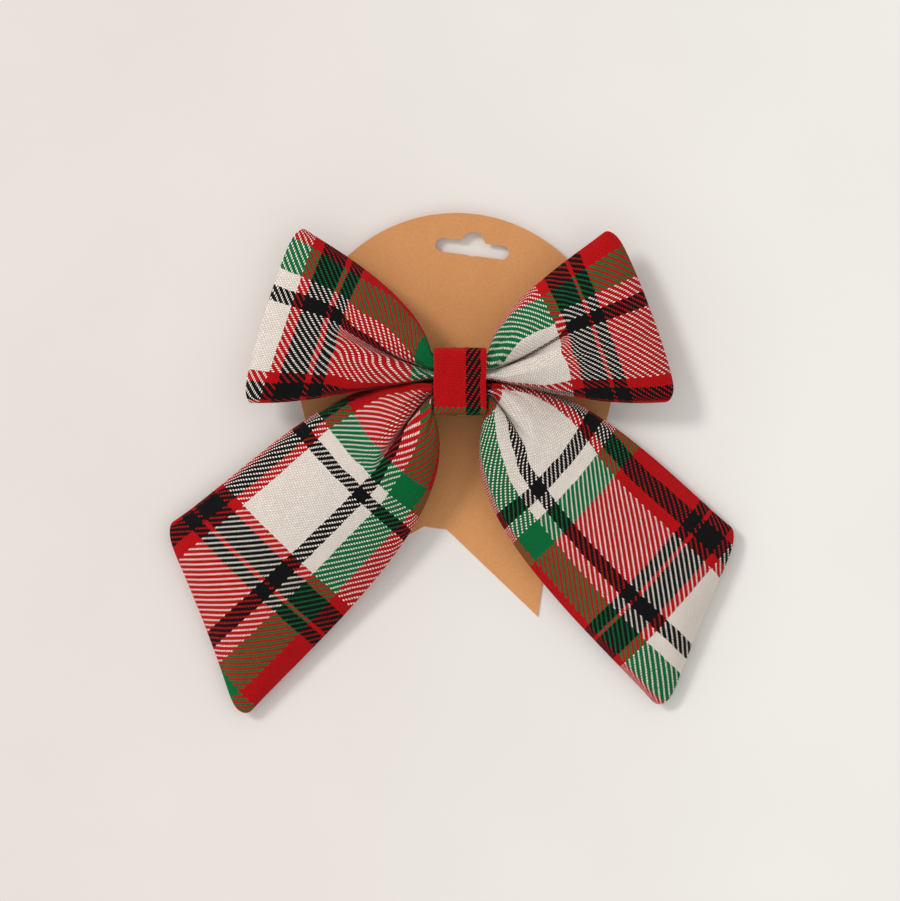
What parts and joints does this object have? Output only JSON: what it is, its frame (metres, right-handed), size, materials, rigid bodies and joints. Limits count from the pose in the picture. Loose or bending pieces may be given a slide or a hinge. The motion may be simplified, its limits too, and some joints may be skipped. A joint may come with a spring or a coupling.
{
  "type": "hair bow",
  "caption": "Padded plaid bow with gathered loops and hanging tails, wrapped knot band and sprung metal hair clip, held on a notched kraft display card.",
  "frame": {"origin": "on the surface the bow lies on, straight under the middle of the knot", "axes": "+Z out of the bow's face, +X to the bow's right as seen from the front, +Y towards the top of the loops"},
  "size_m": [0.2449, 0.2167, 0.0299],
  "materials": {
    "plaid_cloth": "brushed twill, yarn-dyed plaid",
    "batting": "soft polyester wadding",
    "thread": "spun sewing thread",
    "stiffener": "non-woven interlining",
    "glue": "cloudy hot-melt glue",
    "ribbon": "black grosgrain",
    "clip_steel": "nickel-plated, satin",
    "kraft_card": "uncoated kraft board"
  },
  "bodies": {
    "bow": {"loops_front_panel": "plaid_cloth", "loops_back_panel": "plaid_cloth", "loops_batting": "batting", "loops_gather_thread": "thread", "tails_front_panel": "plaid_cloth", "tails_back_panel": "plaid_cloth", "tails_batting": "batting", "tails_gather_thread": "thread", "knot_band": "plaid_cloth", "knot_stiffener": "stiffener", "knot_closing_stitches": "thread", "glue_pad": "glue", "clip_lining_ribbon": "ribbon", "clip_upper_arm": "clip_steel", "clip_pin": "clip_steel", "clip_spring": "clip_steel"},
    "clip_jaw": {"clip_lower_jaw": "clip_steel"},
    "display_card": {"display_card": "kraft_card"}
  },
  "joints": [
    {"name": "clip_hinge", "type": "hinge", "parent": "bow", "child": "clip_jaw", "pos_m": [-0.014, 0, 0.0046], "axis": [0, 1, 0], "range_deg": [0, 20], "stiffness_Nm_per_rad": 0.02, "springref_deg": -28.65, "deforming": ["clip_spring"]},
    {"name": "card_slide", "type": "slide", "parent": "bow", "child": "display_card", "axis": [1, 0, 0], "range_m": [0, 0.25]}
  ]
}
